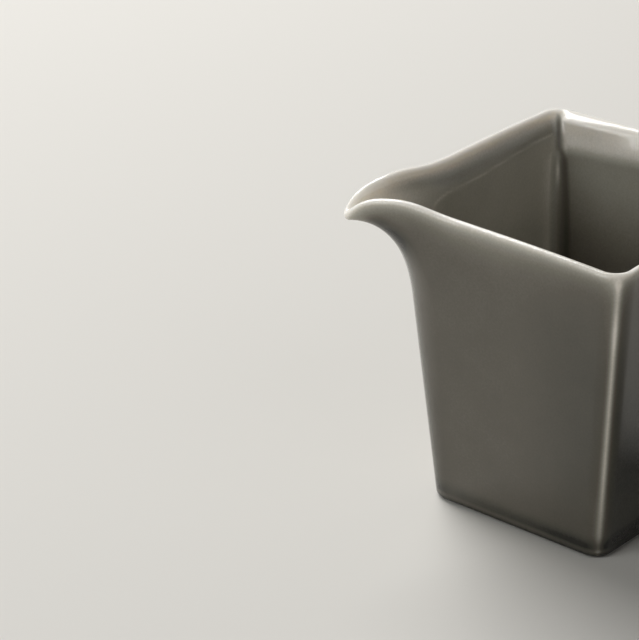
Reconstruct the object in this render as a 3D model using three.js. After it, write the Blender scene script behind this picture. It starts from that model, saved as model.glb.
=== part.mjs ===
// A square porcelain pouring jug, built from clay slabs: four tapered walls
// mitred at the corners, a floor slab on a low foot ring, coils pressed into
// the inner seams, and a beak-shaped spout luted into a V notch in one corner.
// Millimetres, +Z up, standing on z = 0, with the origin in the middle of the
// bounding box. The spout points along -X, and the corners face X and Y.
import * as THREE from "three";

// The body, measured on its outer faces
const bodyHeight = 75; // table to the top of the lip at a corner
const baseHalfSide = 24.3; // middle to wall face, at the table
const rimHalfSide = 33.9; // middle to wall face, at the lip
const baseCornerRadius = 4.2;
const rimCornerRadius = 5.5;
const sideArch = 0.5; // how far each wall's lip rises between its corners

// The clay
const wallThickness = 3;
const lipThickness = 2.2;
const floorThickness = 3.4;
const baseEdgeRadius = 0.5; // rounding under the body
const slipGap = 0.3; // the slip that lutes two pieces together

// The foot ring
const footHeight = 0.5;
const footInset = 1.9; // from the wall face to the ring's outer face
const footWidth = 3;
const footInnerRadius = 1.6; // corner radius of its inner edge

// The corner that carries the spout is bent in a softer curve
const kneeHeight = 50; // where that corner starts to flare
const softRadiusAtBase = 6.1;
const softRadiusAtKnee = 13.8;

// The spout
const spoutReach = 53.2; // middle to the outer edge of the tip
const spoutTipHeight = 70.4; // centre of the lip at the tip
const spoutLength = 25.7; // tip to where its lip has become the wall's lip
const spoutTipWidth = 3.6; // how far the lip runs sideways round the tip
const spoutFlankPull = 22.9; // how far the lip runs on along the wall's line
const keelHeight = 70.4; // where the keel would turn if it were a sharp bend
const beakRise = 1.25; // the lip's swell on each flank of the beak
const beakRiseAt = 11.4; // its distance from the tip
const beakRiseSpread = 6.2;
const tipDropLength = 7.5; // over which the lip falls to the tip
const tipDropPower = 2.7;
const notchHeight = 45; // the lowest point of the V notch
const notchRootDepth = 1.2; // the notch's blunt root
const notchRootShare = 0.07; // the notch's half width as a share of the spread, at its root
const notchRimShare = 0.62; // the same, at the lip

// The coils pressed into the inner seams
const floorCoilSize = 4; // along the floor and up the wall
const floorCoilRadius = 2.4; // corner radius of its inner edge
const cornerCoilRadius = 5.5; // radius of the finished inner corner
const cornerCoilTop = 67;
const softCoilFill = 3; // how much rounder the coil makes the soft corner
const coilFeather = 0.35; // thickness left at a smoothed coil's edges

// Facets
const spreadFacets = 12;
const spoutFacets = 10; // on each flank
const sideFacets = 7;
const arcFacets = 6;
const lipFacets = 6;
const filletFacets = 5;
const straightLevels = 5;
const flareLevels = 8;

// Stops on the walk round the body, from the spout's edge towards -Y. The
// second half of the walk, from the rear edge on, mirrors the first.
const spoutEdge = 0;
const spreadEnd = 1;
const frontArc = 2;
const frontEdge = 2.5;
const sideStart = 3;
const rearArc = 4;
const rearEdge = 5;
const fullWalk = 10;

// Levels of an upright line: 0 at the table, 1 at the knee and 2 at the lip
const kneeLevel = 1;
const lipLevel = 2;

const diagonal = Math.SQRT2;
const eighthTurn = Math.PI / 4;
const nudge = 1e-3; // the step that measures a direction on the surface
const lipHeight = bodyHeight - lipThickness / 2; // centre of the half-round lip
const floorTop = footHeight + floorThickness;
const { lerp, clamp, euclideanModulo, smoothstep } = THREE.MathUtils;

const halfThickness = (z) => lerp(wallThickness, lipThickness, clamp(z / lipHeight, 0, 1)) / 2;

// The wall's middle surface, half way through the clay
const middleSideAtBase = baseHalfSide - wallThickness / 2;
const middleSideAtLip = rimHalfSide - lipThickness / 2;
const middleHalfSide = (z) => lerp(middleSideAtBase, middleSideAtLip, z / lipHeight);
const sharpRadius = (z) => lerp(baseCornerRadius, rimCornerRadius, z / lipHeight);
const softRadius = (z) => lerp(softRadiusAtBase, softRadiusAtKnee, z / kneeHeight);
const archShare = (share) => 1 - share * share;

// The spout's spread ends at this share of half a wall, beyond its middle.
const tipMiddle = spoutReach - lipThickness / 2;
const spreadShare = ((tipMiddle - spoutLength) * diagonal) / middleSideAtLip - 1;

function steps(count, from, to) {
  return Array.from({ length: count + 1 }, (_, i) => lerp(from, to, i / count));
}

// The point at height z of the line through two points.
function onLine(low, high, z) {
  return low.clone().lerp(high, (z - low.z) / (high.z - low.z));
}

// The plan of the body at height z, moved in from its outer face by inset:
// half its side, and the radii of its sharp corners and of the soft one.
function outline(z, inset) {
  return {
    z,
    half: middleHalfSide(z) + halfThickness(z) - inset,
    sharp: sharpRadius(z) - inset,
    soft: softRadius(z) - inset,
  };
}

// A point of the wall between the spout's corner and the front corner, along
// the wall from -half at the first to +half at the second.
function frontLeftPoint(half, along, z) {
  return new THREE.Vector3((along - half) / diagonal, (-half - along) / diagonal, z);
}

// A point of the wall between the front corner and the rear corner.
function frontRightPoint(half, along, z) {
  return new THREE.Vector3((half + along) / diagonal, (along - half) / diagonal, z);
}

// A point of a corner's arc. The corner lies in the direction facing, and turn
// is the direction that the point itself faces.
function arcPoint(half, radius, facing, turn, z) {
  const centre = diagonal * (half - radius);
  const x = centre * Math.cos(facing) + radius * Math.cos(turn);
  const y = centre * Math.sin(facing) + radius * Math.sin(turn);
  return new THREE.Vector3(x, y, z);
}

// A point of the soft corner, at a share of the way from its edge to the end
// of the spout's spread: round its arc first, and then along the wall.
function softCorner({ z, half, soft }, share) {
  const arc = soft * eighthTurn;
  const flat = half - soft - half * spreadShare;
  const walked = share * (arc + flat);
  if (walked < arc) return arcPoint(half, soft, Math.PI, Math.PI + walked / soft, z);
  return frontLeftPoint(half, soft - half + walked - arc, z);
}

// A point of an outline, anywhere on the first half of the walk.
function outlinePoint(plan, place) {
  const { z, half, sharp } = plan;
  const reach = half - sharp;
  if (place < spreadEnd) return softCorner(plan, place);
  if (place < frontArc) return frontLeftPoint(half, lerp(-half * spreadShare, reach, place - spreadEnd), z);
  if (place < sideStart) {
    return arcPoint(half, sharp, -2 * eighthTurn, lerp(-3, -1, place - frontArc) * eighthTurn, z);
  }
  if (place < rearArc) return frontRightPoint(half, lerp(-reach, reach, place - sideStart), z);
  return arcPoint(half, sharp, 0, lerp(-1, 0, place - rearArc) * eighthTurn, z);
}

// How far along a straight wall a place lies, from -1 at one corner's arc to 1
// at the other's. Places off the straight walls give an end.
function wallShare(place) {
  if (place < sideStart) return clamp(lerp(-spreadShare, 1, place - spreadEnd), -1, 1);
  return clamp(lerp(-1, 1, place - sideStart), -1, 1);
}

// The centre of the spout's lip, from the tip (share 0) to where it has
// become the wall's lip (share 1).
function spoutLip(share) {
  const end = frontLeftPoint(middleSideAtLip, -middleSideAtLip * spreadShare, 0);
  const tip = new THREE.Vector3(-tipMiddle, 0, 0);
  const nearTip = new THREE.Vector3(-tipMiddle, -spoutTipWidth, 0);
  const nearEnd = end.clone().add(new THREE.Vector3(-1, 1, 0).setLength(spoutFlankPull));
  const point = new THREE.CubicBezierCurve3(tip, nearTip, nearEnd, end).getPoint(share);
  const fromTip = point.x + tipMiddle;
  const swell = beakRise * Math.exp(-(((fromTip - beakRiseAt) / beakRiseSpread) ** 2));
  const flankHeight = lipHeight + sideArch * archShare(spreadShare);
  const fall = Math.max(0, 1 - fromTip / tipDropLength) ** tipDropPower;
  return point.setZ(flankHeight + swell - (flankHeight - spoutTipHeight) * fall);
}

// The upright line of the middle surface at a place on the first half of the
// walk: straight from the table to the knee, then through its pull point to
// the lip. Outside the spout's spread that leaves it straight.
function uprightLine(place) {
  const at = (z) => outlinePoint(outline(z, halfThickness(z)), place);
  const foot = at(0);
  const knee = at(kneeHeight);
  const lip = place < spreadEnd ? spoutLip(place) : at(lipHeight);
  if (place >= spreadEnd) lip.z += sideArch * archShare(wallShare(place));
  const pullHeight = lerp(keelHeight, (kneeHeight + lip.z) / 2, smoothstep(place, 0, 1));
  return { foot, knee, pull: onLine(foot, knee, pullHeight), lip };
}

// A point of the middle surface, anywhere on the walk.
function middle(place, level) {
  const walked = euclideanModulo(place, fullWalk);
  const mirrored = walked > rearEdge;
  const line = uprightLine(mirrored ? fullWalk - walked : walked);
  const flare = new THREE.QuadraticBezierCurve3(line.knee, line.pull, line.lip);
  const straight = level <= kneeLevel;
  const point = straight ? line.foot.clone().lerp(line.knee, level) : flare.getPoint(level - kneeLevel);
  if (mirrored) point.y = -point.y;
  return point;
}

// The directions of the middle surface at a place: round the walk, up the
// upright line, and out of the body.
function directions(place, level) {
  const around = middle(place + nudge, level).sub(middle(place - nudge, level)).normalize();
  const up = middle(place, level + nudge).sub(middle(place, level - nudge)).normalize();
  const out = around.clone().cross(up).normalize();
  return { around, up, out };
}

// A point at a distance out of the middle surface. Below the knee it keeps the
// level's own height, so that level edges are flat.
function offPoint(place, level, distance) {
  const start = middle(place, level);
  const { up, out } = directions(place, level);
  const point = start.clone().addScaledVector(out, distance);
  return level > kneeLevel ? point : point.addScaledVector(up, (start.z - point.z) / up.z);
}

const outerPoint = (place, level) => offPoint(place, level, halfThickness(middle(place, level).z));
const innerPoint = (place, level) => offPoint(place, level, -halfThickness(middle(place, level).z));

// A point of the half-round lip, at an angle from the outer face over to the inner.
function lipPoint(place, angle) {
  const centre = middle(place, lipLevel);
  const { around, out } = directions(place, lipLevel);
  const over = out.clone().cross(around).normalize();
  const radius = halfThickness(centre.z);
  return centre
    .addScaledVector(out, radius * Math.cos(angle))
    .addScaledVector(over, radius * Math.sin(angle));
}

// Makes a solid from closed sections, each a loop of as many points. The first
// and last are capped across, or joined to each other when it is a ring.
function loft(name, sections, material, ring = false) {
  const size = sections[0].length;
  const positions = sections.flat().flatMap((point) => point.toArray());
  const triangles = [];
  const quad = (a, b, c, d) => triangles.push([a, b, c], [a, c, d]);
  const joins = ring ? sections.length : sections.length - 1;
  for (let s = 0; s < joins; s += 1) {
    const here = s * size;
    const next = ((s + 1) % sections.length) * size;
    for (let i = 0; i < size; i += 1) {
      const j = (i + 1) % size;
      quad(here + i, here + j, next + j, next + i);
    }
  }
  const cap = (start, turned) => {
    for (let low = 0, high = size - 1; low < high; low += 1, high -= 1) {
      const corners = [low, low + 1, high - 1, high].map((i) => start + i);
      const across = high - low < 3 ? [[0, 1, 3]] : [[0, 1, 2], [0, 2, 3]];
      if (high - low < 2) break;
      for (const [a, b, c] of across) {
        triangles.push(turned ? [corners[a], corners[c], corners[b]] : [corners[a], corners[b], corners[c]]);
      }
    }
  };
  if (!ring) {
    cap(0, true);
    cap((sections.length - 1) * size, false);
  }
  return solid(name, positions, triangles, material);
}

// A named mesh with its faces turned outwards.
function solid(name, positions, triangles, material) {
  const point = (i) => new THREE.Vector3().fromArray(positions, 3 * i);
  const volume = triangles.reduce((sum, [a, b, c]) => sum + point(a).dot(point(b).cross(point(c))), 0);
  const outward = volume > 0 ? triangles : triangles.map(([a, b, c]) => [a, c, b]);
  const geometry = new THREE.BufferGeometry();
  geometry.setAttribute("position", new THREE.Float32BufferAttribute(positions, 3));
  geometry.setIndex(outward.flat());
  geometry.computeVertexNormals();
  const mesh = new THREE.Mesh(geometry, material);
  mesh.name = name;
  return mesh;
}

const glazedPorcelain = () =>
  new THREE.MeshStandardMaterial({ color: 0x6f6e65, roughness: 0.16, metalness: 0 });
const barePorcelain = () =>
  new THREE.MeshStandardMaterial({ color: 0xd9d2c4, roughness: 0.85, metalness: 0 });

// The V notch, as a share of the spout's spread at each level
const levelOf = (z) => z / kneeHeight;
const heightOf = (level) =>
  level <= kneeLevel ? level * kneeHeight : lerp(kneeHeight, lipHeight, level - kneeLevel);
const rootTop = notchHeight + notchRootDepth;

function notchShare(level) {
  const rise = (heightOf(level) - rootTop) / (lipHeight - rootTop);
  return lerp(notchRootShare, notchRimShare, clamp(rise, 0, 1));
}

// The closed section of a wall: up its outer face, over the lip and down its
// inner face. placeAt gives its place at a level, and shift moves it sideways.
function shellSection(levels, placeAt, shift) {
  const moved = (point, level) => point.addScaledVector(directions(placeAt(level), level).around, shift);
  const outer = levels.map((level) => moved(outerPoint(placeAt(level), level), level));
  const inner = levels.map((level) => moved(innerPoint(placeAt(level), level), level));
  const overLip = steps(lipFacets, 0, Math.PI).slice(1, -1);
  const lip = overLip.map((angle) => moved(lipPoint(placeAt(lipLevel), angle), lipLevel));
  return [...outer, ...lip, ...inner.reverse()];
}

// A wall slab with a section at each stop of the walk. Its two ends keep half
// the slip's gap from the joints, and mirrored puts it on the +Y side.
function wallSlab(name, stops, levels, placeOf, mirrored) {
  const last = stops.length - 1;
  const sections = stops.map((stop, i) => {
    const shift = i === 0 ? slipGap / 2 : i === last ? -slipGap / 2 : 0;
    const placeAt = (level) => (mirrored ? fullWalk - placeOf(stop, level) : placeOf(stop, level));
    return shellSection(levels, placeAt, mirrored ? -shift : shift);
  });
  return loft(name, sections, glazedPorcelain());
}

const flareLevelList = steps(flareLevels, kneeLevel, lipLevel);
const wallFoot = levelOf(floorTop + slipGap);

// A wall beside the spout. Its first edge is the mitre up to the notch, and
// then follows the notch.
function notchedWall(name, mirrored) {
  const rootGap = levelOf(slipGap * diagonal);
  const notchBottom = levelOf(notchHeight) - rootGap;
  const levels = [
    ...steps(straightLevels - 1, wallFoot, notchBottom),
    levelOf(rootTop) - rootGap,
    ...flareLevelList,
  ];
  const stops = [
    ...steps(spreadFacets, notchRimShare, spreadEnd),
    ...steps(sideFacets, spreadEnd, frontArc).slice(1),
    ...steps(arcFacets / 2, frontArc, frontEdge).slice(1),
  ];
  const placeOf = (stop, level) => {
    if (stop > spreadEnd) return stop;
    const edge = level > notchBottom ? notchShare(level) : spoutEdge;
    return lerp(edge, spreadEnd, (stop - notchRimShare) / (spreadEnd - notchRimShare));
  };
  return wallSlab(name, stops, levels, placeOf, mirrored);
}

// A wall between the front or back corner and the rear corner.
function plainWall(name, mirrored) {
  const levels = [...steps(straightLevels, wallFoot, kneeLevel), ...flareLevelList.slice(1)];
  const stops = [
    ...steps(arcFacets / 2, frontEdge, sideStart),
    ...steps(sideFacets, sideStart, rearArc).slice(1),
    ...steps(arcFacets / 2, rearArc, rearEdge).slice(1),
  ];
  return wallSlab(name, stops, levels, (stop) => stop, mirrored);
}

// The beak in its notch, with a blunt V at its foot.
function spout() {
  const spans = steps(2 * spoutFacets, -1, 1);
  const sections = spans.map((span, i) => {
    const root = levelOf(notchHeight + notchRootDepth * Math.abs(span));
    const levels = [root, levelOf(lerp(rootTop, kneeHeight, 0.5)), ...flareLevelList];
    const shift = i === 0 ? slipGap / 2 : i === spans.length - 1 ? -slipGap / 2 : 0;
    return shellSection(levels, (level) => span * notchShare(level), shift);
  });
  return loft("spout", sections, glazedPorcelain());
}

// Every place of the whole walk round the body, once each.
const roundWalk = (() => {
  const half = [
    ...steps(spreadFacets, spoutEdge, spreadEnd),
    ...steps(sideFacets, spreadEnd, frontArc).slice(1),
    ...steps(arcFacets, frontArc, sideStart).slice(1),
    ...steps(sideFacets, sideStart, rearArc).slice(1),
    ...steps(arcFacets / 2, rearArc, rearEdge).slice(1),
  ];
  const mirrored = half.slice(1, -1).map((place) => fullWalk - place);
  return [...half, ...mirrored.reverse()];
})();

// An outline as a closed loop of points. Those past the rear edge are mirrored.
function closedLoop(plan) {
  return roundWalk.map((place) => {
    if (place <= rearEdge) return outlinePoint(plan, place);
    const point = outlinePoint(plan, fullWalk - place);
    return point.setY(-point.y);
  });
}

function floorSlab() {
  const rounding = steps(filletFacets, Math.PI / 2, 0).map((angle) => {
    const z = footHeight + baseEdgeRadius * (1 - Math.sin(angle));
    return closedLoop(outline(z, baseEdgeRadius * (1 - Math.cos(angle))));
  });
  return loft("floor_slab", [...rounding, closedLoop(outline(floorTop, 0))], glazedPorcelain());
}

function footRing() {
  const outer = outline(footHeight, footInset);
  const innerWidth = footInset + footWidth;
  const inner = { ...outline(footHeight, innerWidth), sharp: footInnerRadius, soft: footInnerRadius };
  const loops = [
    closedLoop({ ...outer, z: 0 }),
    closedLoop(outer),
    closedLoop(inner),
    closedLoop({ ...inner, z: 0 }),
  ];
  const sections = roundWalk.map((_, i) => loops.map((loop) => loop[i]));
  return loft("foot_ring", sections, barePorcelain(), true);
}

// The outline that clears the walls' inner face at height z by the slip's gap
const coilSeat = (z) => outline(z, 2 * halfThickness(z) + slipGap);
const coilFoot = floorTop + slipGap;

// The coil in the seam round the floor, with a hollow face.
function floorCoil() {
  const hollow = floorCoilSize - coilFeather;
  const face = steps(filletFacets, 0, Math.PI / 2).map((angle) => ({
    depth: coilFeather + hollow * (1 - Math.cos(angle)),
    rise: coilFeather + hollow * (1 - Math.sin(angle)),
  }));
  const back = [
    { depth: floorCoilSize, rise: 0 },
    { depth: 0, rise: 0 },
    { depth: 0, rise: floorCoilSize },
  ];
  const loops = [...face, ...back].map(({ depth, rise }) => {
    const seat = coilSeat(coilFoot + rise);
    const share = depth / floorCoilSize;
    const sharp = lerp(seat.sharp, floorCoilRadius, share);
    const soft = lerp(seat.soft, floorCoilRadius, share);
    return closedLoop({ ...seat, half: seat.half - depth, sharp, soft });
  });
  const sections = roundWalk.map((_, i) => loops.map((loop) => loop[i]));
  return loft("floor_coil", sections, glazedPorcelain(), true);
}

// A coil up an inner corner: a bent back against the walls, and a hollow face
// between two feathered edges. The radii are functions of the height.
function cornerCoil(name, facing, top, backRadius, faceRadius) {
  const foot = coilFoot + floorCoilSize + slipGap;
  const sections = steps(straightLevels, foot, top).map((z) => {
    const { half } = coilSeat(z);
    const turns = steps(arcFacets, facing - eighthTurn, facing + eighthTurn);
    const face = turns.map((turn) => arcPoint(half - coilFeather, faceRadius(z), facing, turn, z));
    const feather = (end, turn) =>
      end.clone().add(new THREE.Vector3(Math.cos(turn), Math.sin(turn), 0).setLength(coilFeather));
    const bend = steps(arcFacets - 2, facing - eighthTurn, facing + eighthTurn);
    const seat = bend.map((turn) => arcPoint(half, backRadius(z), facing, turn, z));
    const firstEnd = feather(face[0], turns[0]);
    const lastEnd = feather(face[arcFacets], turns[arcFacets]);
    return [...face, lastEnd, ...seat.reverse(), firstEnd];
  });
  return loft(name, sections, glazedPorcelain());
}

function sharpCornerCoil(name, facing) {
  return cornerCoil(name, facing, cornerCoilTop, (z) => coilSeat(z).sharp, () => cornerCoilRadius);
}

// The soft corner's coil ends below the notch.
function softCornerCoil() {
  const back = (z) => coilSeat(z).soft;
  return cornerCoil("spout_corner_coil", Math.PI, notchHeight, back, (z) => back(z) + softCoilFill);
}

const jug = new THREE.Group();
jug.add(
  floorSlab(),
  footRing(),
  notchedWall("front_left_wall", false),
  plainWall("front_right_wall", false),
  plainWall("back_right_wall", true),
  notchedWall("back_left_wall", true),
  spout(),
  floorCoil(),
  sharpCornerCoil("front_corner_coil", -2 * eighthTurn),
  sharpCornerCoil("rear_corner_coil", 0),
  sharpCornerCoil("back_corner_coil", 2 * eighthTurn),
  softCornerCoil(),
);

// Stand the bounding box's middle over the origin.
const box = new THREE.Box3().setFromObject(jug);
jug.position.x = -(box.min.x + box.max.x) / 2;

export default jug;
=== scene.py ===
"""The looks of a square porcelain pouring jug: a grey celadon glaze over a slab-built body."""

from __future__ import annotations

import logging
from dataclasses import dataclass, field
from enum import Enum

import bpy
import numpy as np
from mathutils import Matrix, Vector

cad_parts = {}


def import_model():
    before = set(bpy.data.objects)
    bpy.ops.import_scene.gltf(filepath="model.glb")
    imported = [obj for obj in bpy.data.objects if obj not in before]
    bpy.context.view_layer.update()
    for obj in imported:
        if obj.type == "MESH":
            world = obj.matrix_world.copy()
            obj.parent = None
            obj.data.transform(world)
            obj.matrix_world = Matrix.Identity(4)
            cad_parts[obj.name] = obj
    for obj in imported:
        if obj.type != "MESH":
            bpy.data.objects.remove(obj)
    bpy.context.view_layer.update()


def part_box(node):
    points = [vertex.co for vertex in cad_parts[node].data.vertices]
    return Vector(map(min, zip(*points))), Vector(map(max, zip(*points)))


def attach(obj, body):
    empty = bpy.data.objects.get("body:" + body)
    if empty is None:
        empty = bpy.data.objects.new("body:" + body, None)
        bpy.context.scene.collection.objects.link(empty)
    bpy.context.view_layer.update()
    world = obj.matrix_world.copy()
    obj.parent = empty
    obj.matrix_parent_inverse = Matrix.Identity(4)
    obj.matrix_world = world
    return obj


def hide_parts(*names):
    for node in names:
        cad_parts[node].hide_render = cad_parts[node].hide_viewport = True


LOG = logging.getLogger("jug")
MM = 0.001
DIAGONAL = float(np.sqrt(2))
EIGHTH_TURN = np.pi / 4
QUARTER_TURN = np.pi / 2
NUDGE = 1e-3

# Stops on the walk round the body, from the spout's edge towards -Y. The second half of the
# walk, from the rear edge on, mirrors the first.
SPREAD_END = 1.0
FRONT_ARC = 2.0
CORNER_MIDDLE = 2.5
SIDE_START = 3.0
REAR_ARC = 4.0
REAR_EDGE = 5.0
FULL_WALK = 10.0

# The skin's columns between one stop and the next, close together where the body bends
COLUMN_COUNTS = (76, 20, 24, 26, 12)

# Levels of an upright line: 0 at the table, 1 at the knee and 2 at the lip
KNEE_LEVEL = 1.0
LIP_LEVEL = 2.0


class Face(Enum):
    """The side of the clay that a surface is on, as the sign of its distance."""

    OUTER = 1
    INNER = -1


def lerp(low: np.ndarray | float, high: np.ndarray | float, share: np.ndarray | float) -> np.ndarray:
    """The value at a share of the way from low to high."""
    return low + (high - low) * share


def smoothstep(value: np.ndarray | float, low: float, high: float) -> np.ndarray:
    """A smooth rise from 0 at low to 1 at high: 3t^2 - 2t^3."""
    share = np.clip((np.asarray(value, float) - low) / (high - low), 0, 1)
    return share * share * (3 - 2 * share)


def bell(value: np.ndarray, middle: np.ndarray | float, spread: np.ndarray | float) -> np.ndarray:
    """A bell curve of height 1: the exponential of minus the squared distance in spreads."""
    return np.exp(-(((value - middle) / spread) ** 2))


def cubic(share: np.ndarray, points: list[np.ndarray]) -> np.ndarray:
    """Points of a cubic curve.

    Args:
        share: how far along the curve each point is.
        points: the curve's four control points in plan.

    Returns:
        The points, with x and y in the last axis.
    """
    t = share[..., None]
    a, b, c, d = points
    return (1 - t) ** 3 * a + 3 * (1 - t) ** 2 * t * b + 3 * (1 - t) * t**2 * c + t**3 * d


def half_walk(place: np.ndarray) -> tuple[np.ndarray, np.ndarray]:
    """Places on the walk, brought onto its first half.

    Args:
        place: places on the walk.

    Returns:
        Their stops on the first half, and whether each was mirrored from the second.
    """
    walked = np.mod(place, FULL_WALK)
    mirrored = walked > REAR_EDGE
    return np.where(mirrored, FULL_WALK - walked, walked), mirrored


def columns() -> np.ndarray:
    """The places of the skin's columns, once round the walk.

    Returns:
        The places, in order.
    """
    stops = (0.0, SPREAD_END, FRONT_ARC, SIDE_START, REAR_ARC, REAR_EDGE)
    stretches = zip(stops, stops[1:], COLUMN_COUNTS)
    half = np.concatenate([np.linspace(low, high, count, endpoint=False) for low, high, count in stretches])
    return np.concatenate([half, [REAR_EDGE], FULL_WALK - half[:0:-1]])


@dataclass(frozen=True)
class JugSizes:
    """The jug's driving sizes, in millimetres where their group says nothing else."""

    body_height: float = 75.0
    base_half_side: float = 24.3
    rim_half_side: float = 33.9
    base_corner_radius: float = 4.2
    rim_corner_radius: float = 5.5
    side_arch: float = 0.5
    wall_thickness: float = 3.0
    lip_thickness: float = 2.2
    floor_top: float = 3.9
    foot_height: float = 0.5
    base_edge_radius: float = 0.5
    knee_height: float = 50.0
    soft_radius_at_base: float = 6.1
    soft_radius_at_knee: float = 13.8

    # The spout. The power is a bare number
    spout_reach: float = 53.2
    spout_tip_height: float = 70.4
    spout_length: float = 25.7
    spout_tip_width: float = 3.6
    spout_flank_pull: float = 22.9
    keel_height: float = 70.4
    beak_rise: float = 1.25
    beak_rise_at: float = 11.4
    beak_rise_spread: float = 6.2
    tip_drop_length: float = 7.5
    tip_drop_power: float = 2.7

    # The inner corners, which the coils fill. The fades are heights
    inner_corner_radius: float = 5.5
    inner_corner_fade: tuple[float, float] = (56.0, 72.0)
    soft_corner_fill: float = 3.0
    soft_corner_fade: tuple[float, float] = (34.0, 52.0)

    # The lip's shoulder. The turn is in radians, and the fade and where the swell is and how
    # far it spreads are on the walk
    shoulder_depth: float = 0.5
    shoulder_height: float = 1.3
    shoulder_turn: float = 1.31
    shoulder_fade: tuple[float, float] = (0.2, 0.5)
    shoulder_swell: float = 2.1
    shoulder_swell_at: float = 6.93
    shoulder_swell_spread: float = 0.2

    # The bevel inside the lip. The softness is a share of its height, the dip's start and
    # width are on the walk, its power is a bare number, and the fade is in heights
    bevel_drop: float = 6.6
    bevel_drop_at_corner: float = 4.7
    bevel_depth: float = 1.5
    bevel_softness: float = 0.15
    bevel_dip: float = 3.4
    bevel_dip_start: float = 0.9
    bevel_dip_width: float = 0.233
    bevel_dip_power: float = 1.5
    bevel_fade: tuple[float, float] = (8.0, 50.0)

    floor_fillet: float = 4.3
    floor_corner_radius: float = 2.4


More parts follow.
